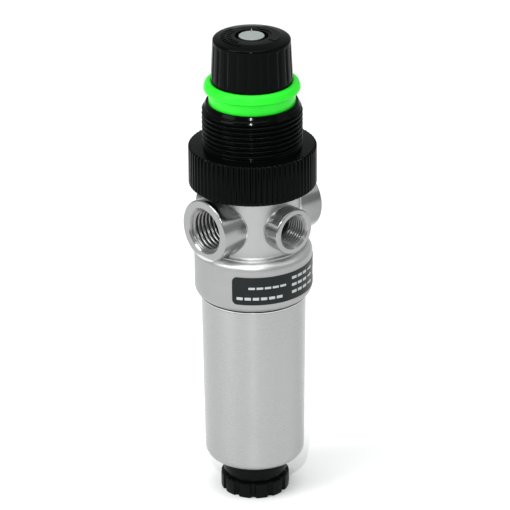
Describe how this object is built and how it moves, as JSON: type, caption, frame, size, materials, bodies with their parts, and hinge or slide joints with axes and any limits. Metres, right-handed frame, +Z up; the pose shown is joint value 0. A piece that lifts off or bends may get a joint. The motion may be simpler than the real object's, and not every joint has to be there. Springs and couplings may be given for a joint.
{
  "type": "air filter regulator",
  "caption": "Slim stainless air filter/regulator: push-to-lock knob on a threaded panel neck, body with two line ports and two gauge ports, filter bowl and manual drain.",
  "frame": {"origin": "centre of the drain knob's lower face, on the main axis", "axes": "+Z up along the main axis to the adjusting knob, +X from the inlet port to the outlet port, -Y towards the gauge port beside the label's middle"},
  "size_m": [0.039, 0.0384, 0.1487],
  "materials": {
    "stainless_cast": "satin, bead blasted",
    "stainless_bowl": "brushed",
    "black_gloss": "moulded, glossy",
    "black_drain": "moulded, semi-matt",
    "grey_disc": "matt",
    "green_ring": "moulded, bright green",
    "label_black": "printed film",
    "brass": "turned",
    "spring_steel": "drawn wire",
    "acetal": "moulded, white",
    "rubber": "nitrile",
    "sintered": "porous"
  },
  "bodies": {
    "housing": {"body": "stainless_cast", "bonnet": "black_gloss", "label": "label_black", "slip_ring": "acetal", "diaphragm": "rubber", "regulating_spring": "spring_steel", "valve_seat": "brass", "valve_spring": "spring_steel", "valve_guide": "acetal", "deflector": "acetal", "filter_element": "sintered", "element_baffle": "acetal", "bowl": "stainless_bowl", "bowl_o_ring": "rubber", "drain_body": "black_drain", "drain_gasket": "rubber", "drain_nut": "black_drain"},
    "screw": {"adjusting_screw": "brass", "screw_clip": "spring_steel", "thrust_washer": "spring_steel"},
    "knob": {"knob": "black_gloss", "knob_disc": "grey_disc", "lock_ring": "green_ring"},
    "nut": {"spring_nut": "acetal"},
    "valve": {"diaphragm_plate": "acetal", "relief_seat": "acetal", "valve_pin": "brass", "valve_poppet": "brass", "poppet_seal": "rubber"},
    "drain_plug": {"drain_seal": "rubber"},
    "drain_handle": {"drain_knob": "black_drain", "drain_stem": "black_drain"}
  },
  "joints": [
    {"name": "knob_turn", "type": "hinge", "parent": "housing", "child": "screw", "pos_m": [0, 0, 0.13], "axis": [0, 0, -1], "range_deg": [0, 1620.5]},
    {"name": "knob_push", "type": "slide", "parent": "screw", "child": "knob", "axis": [0, 0, -1], "range_m": [0, 0.0034]},
    {"name": "nut_travel", "type": "slide", "parent": "housing", "child": "nut", "axis": [0, 0, -1], "range_m": [0, 0.0045], "deforming": ["regulating_spring"]},
    {"name": "valve_travel", "type": "slide", "parent": "housing", "child": "valve", "axis": [0, 0, -1], "range_m": [0, 0.0012], "stiffness_N_per_m": 2000, "deforming": ["valve_spring", "diaphragm"]},
    {"name": "drain_travel", "type": "slide", "parent": "housing", "child": "drain_plug", "axis": [0, 0, -1], "range_m": [0, 0.00125]},
    {"name": "drain_turn", "type": "hinge", "parent": "drain_plug", "child": "drain_handle", "pos_m": [0, 0, 0.002], "axis": [0, 0, -1], "range_deg": [0, 360.5]}
  ],
  "couplings": [
    {"joint": "knob_turn", "follows": "nut_travel", "rad_per_m": 6283.2},
    {"joint": "drain_turn", "follows": "drain_travel", "rad_per_m": 5026.5}
  ]
}
